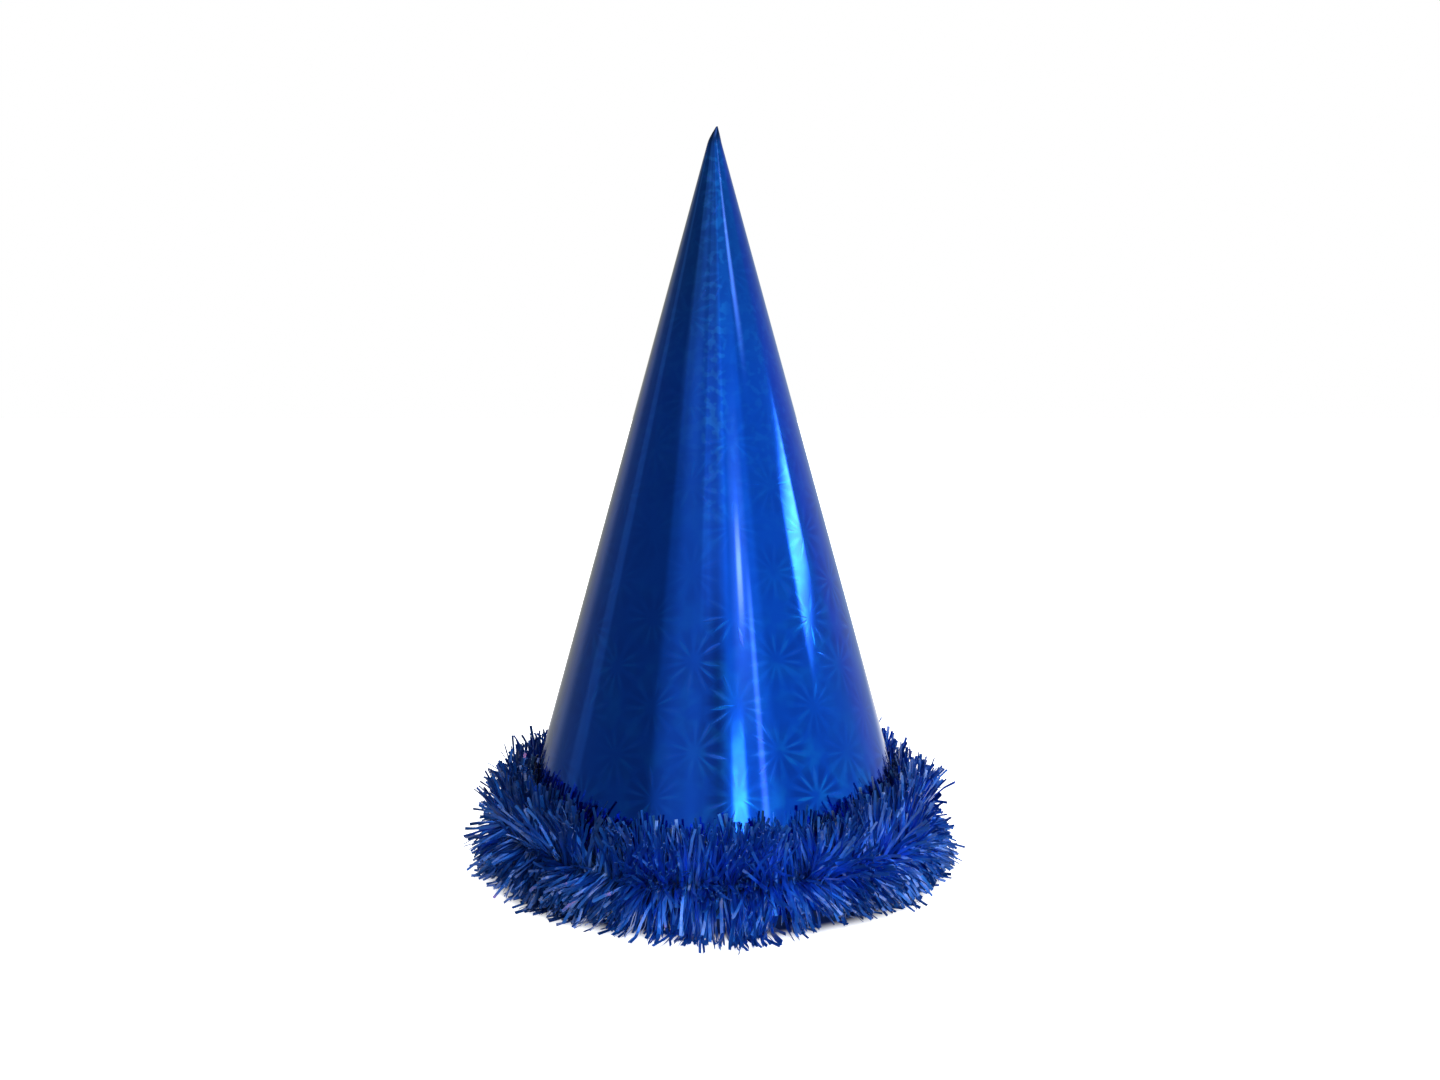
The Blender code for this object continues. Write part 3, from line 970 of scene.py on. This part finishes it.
# The studio's panels as seen from the hat, in degrees: from the left to the right azimuth
# (0 is the front, positive to the right), from the bottom to the top elevation, how soft
# the edges are, how far the panel leans to the right per degree above LEAN_FROM, how
# bright it is, and its light's tint
WHITE = (1.0, 1.0, 1.0)
FLOOR_UP = -90.0
CEILING = 60.0
LEAN_FROM = 30.0
PANELS = (
    ("window", 80.5, 100.5, 13.9, 18.0, 2.0, 0.0, 7.0, WHITE),
    ("lamp", 21.3, 25.8, 22.0, 24.7, 1.3, 0.0, 4.4, (4.8, 1.0, 1.0)),
    ("lamp_glow", 17.0, 32.0, 19.0, 28.0, 4.0, 0.0, 0.40, (3.2, 1.1, 0.8)),
    ("low_box", 12.0, 20.3, FLOOR_UP, 16.9, 1.3, 0.0, 4.6, WHITE),
    ("low_strip", 30.2, 33.6, FLOOR_UP, 22.0, 1.2, 0.0, 1.25, (3.0, 1.2, 1.0)),
    ("high_box", 50.5, 58.0, 30.5, 36.5, 3.0, -1.6, 1.9, (3.2, 1.2, 0.9)),
    ("right_front", 6.0, 42.0, FLOOR_UP, CEILING, 4.0, 0.0, 0.22, (0.6, 1.0, 1.0)),
    ("right_side", 8.0, 200.0, FLOOR_UP, CEILING, 5.0, 0.0, 0.40, (0.25, 0.88, 1.0)),
    ("left_wall", -51.0, -7.0, FLOOR_UP, CEILING, 3.5, -0.6, 0.12, (0.8, 1.0, 1.0)),
    ("left_screen", -36.0, -7.0, FLOOR_UP, CEILING, 8.0, 0.0, 0.16, WHITE),
    ("left_edge", -19.0, -7.5, FLOOR_UP, 23.0, 3.0, 0.0, 0.05, WHITE),
    ("left_top", -56.0, -22.0, 27.0, CEILING, 4.0, 0.0, 0.10, (2.0, 1.2, 0.8)),
    ("middle", -7.0, 6.5, FLOOR_UP, CEILING, 1.5, 0.0, 0.08, WHITE),
    ("middle_up", -7.0, 6.5, 20.5, CEILING, 1.5, 0.0, 0.05, WHITE),
    ("middle_top", -12.0, 12.0, 22.5, CEILING, 2.0, 0.0, 0.26, WHITE),
    ("left_streak", -109.0, -98.0, FLOOR_UP, CEILING, 2.0, 0.0, 0.08, (1.0, 1.4, 1.0)),
    ("low_front", -4.0, 42.0, -14.0, 4.0, 3.0, 0.0, 2.5, WHITE),
)
SOFTEST_END = 3.0
DIM_UPWARDS = (27.0, 42.0, 1.0, 0.7)

# The room's own light, what is beyond its edges at the back, and a light that is added
# nearly straight behind, on the left
ROOM = (0.115, 0.165, 0.170)
BACK_RIGHT = (0.285, 0.385, 0.570, 1.0)
BACK_RIGHT_EDGE = 92.0
BACK_RIGHT_LEAN = -0.9
BACK_LEFT = (0.310, 0.310, 0.255, 1.0)
BACK_LEFT_EDGE = -130.0
BACK_SOFT = 7.0
BEHIND = (-158.0, -174.0, 0.0, 0.22)

# The ceiling and the light from below, by the direction's x: from left to right, and the
# ceiling's bars, each with its middle and its brightness
OVERHEAD_FROM = (44.0, 58.0)
OVERHEAD = (-0.7, 0.7, 0.45, 1.7)
OVERHEAD_BARS = ((-0.30, 0.45), (0.04, 1.8), (0.38, 3.0))
OVERHEAD_BAR_HALF = 0.15
OVERHEAD_BAR_SOFT = 0.05
BOUNCE_FROM = (-5.0, -12.0)
BOUNCE = (-0.8, 0.8, 0.10, 1.30)


def between(nodes, value, low, high, soft):
    """1 between low and high, eased to 0 beyond them."""
    rise = nodes.ramp(value, low - soft, low + soft)
    return nodes.times(rise, nodes.ramp(value, high + soft, high - soft))


def panel_light(nodes, azimuth, elevation):
    """The room's light with every panel's added."""
    above = nodes.math("SUBTRACT", elevation, LEAN_FROM)
    total = ROOM
    for _, left, right, bottom, top, soft, lean, level, tint in PANELS:
        place = nodes.math("MULTIPLY_ADD", above, -lean, azimuth) if lean else azimuth
        shape = between(nodes, place, left, right, soft)
        if bottom > FLOOR_UP or top < CEILING:
            ends = between(nodes, elevation, bottom, top, min(soft, SOFTEST_END))
            shape = nodes.times(shape, ends)
        if top == CEILING:
            shape = nodes.times(shape, nodes.ramp(elevation, *DIM_UPWARDS))
        total = nodes.sum_light(shape, [level * part for part in tint], total)
    return total


def back_light(nodes, azimuth, elevation, total):
    """total, with the back's own light beyond the room's two edges."""
    above = nodes.math("SUBTRACT", elevation, LEAN_FROM)
    edge = nodes.math("MULTIPLY_ADD", above, BACK_RIGHT_LEAN, BACK_RIGHT_EDGE)
    beyond = nodes.math("SUBTRACT", azimuth, edge)
    total = nodes.mix(nodes.ramp(beyond, -BACK_SOFT, BACK_SOFT), total, BACK_RIGHT)
    beyond = nodes.math("SUBTRACT", BACK_LEFT_EDGE, azimuth)
    total = nodes.mix(nodes.ramp(beyond, -BACK_SOFT, BACK_SOFT), total, BACK_LEFT)
    return nodes.sum_light(nodes.ramp(azimuth, *BEHIND), WHITE, total)


def end_light(nodes, x, elevation, total):
    """total, with the ceiling's light above it and the light from below under it."""
    ceiling = nodes.ramp(x, *OVERHEAD)
    for middle, level in OVERHEAD_BARS:
        edges = (middle - OVERHEAD_BAR_HALF, middle + OVERHEAD_BAR_HALF)
        bar = between(nodes, x, *edges, OVERHEAD_BAR_SOFT)
        ceiling = nodes.math("MULTIPLY_ADD", bar, level, ceiling)
    total = nodes.mix(nodes.ramp(elevation, *OVERHEAD_FROM), total, ceiling)
    return nodes.mix(nodes.ramp(elevation, *BOUNCE_FROM), total, nodes.ramp(x, *BOUNCE))


def make_world():
    """The panels for the hat's light and reflections, and plain white for the camera."""
    world = bpy.data.worlds.new("studio")
    bpy.context.scene.world = world
    world.use_nodes = True
    nodes = Nodes(world.node_tree)
    x, y, z = nodes.parts(nodes.add("ShaderNodeTexCoord").outputs["Generated"])
    azimuth = nodes.math("DEGREES", nodes.math("ARCTAN2", x, nodes.times(y, -1.0)))
    elevation = nodes.math("DEGREES", nodes.math("ARCSINE", z))
    total = panel_light(nodes, azimuth, elevation)
    total = back_light(nodes, azimuth, elevation, total)
    total = end_light(nodes, x, elevation, total)
    background = nodes.add("ShaderNodeBackground")
    nodes.put(background.inputs["Color"], total)
    seen = nodes.add("ShaderNodeBackground")
    nodes.put(seen.inputs["Color"], (1.0, 1.0, 1.0, 1.0))
    from_camera = nodes.add("ShaderNodeLightPath").outputs["Is Camera Ray"]
    pick = nodes.add("ShaderNodeMixShader")
    nodes.fill(pick, (from_camera, background.outputs[0], seen.outputs[0]))
    output = nodes.add("ShaderNodeOutputWorld")
    nodes.put(output.inputs[0], pick.outputs[0])


# ---------------------------------------------------------------- everything together

def make_hat():
    foil = foil_material()
    film = rolled_layer("holographic_film", 0.0, FILM_THICKNESS, TIP_SLANT)
    punch_cord_holes(film)
    finish_piece(film, foil, "foil", "foil_film")

    card_top = -(FILM_THICKNESS + LAYER_GAP)
    card = rolled_layer("card_board_cone", card_top, CARD_THICKNESS, CARD_TIP_SLANT)
    punch_cord_holes(card)
    finish_piece(card, card_material(), "card", "card_cone")

    strips = tinsel_material()
    for i in range(BUNDLES):
        bundle = tinsel_bundle(f"tinsel_strips_{i + 1:02d}", math.tau * i / BUNDLES)
        finish_piece(bundle, strips, "tinsel", f"fringe_{i + 1:02d}")

    thread = thread_material()
    for name in ("core_thread_a", "core_thread_b"):
        set_material(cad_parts[name], thread)
    hot_glue = glue_material("hot_glue", *HOT_GLUE)
    for name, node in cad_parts.items():
        if name.startswith("glue_dot"):
            set_material(node, hot_glue)
    set_material(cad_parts["seam_glue"], glue_material("seam_glue", *SEAM_GLUE))


bpy.context.scene.view_settings.view_transform = "Standard"
make_camera()
make_floor()
make_world()
make_hat()
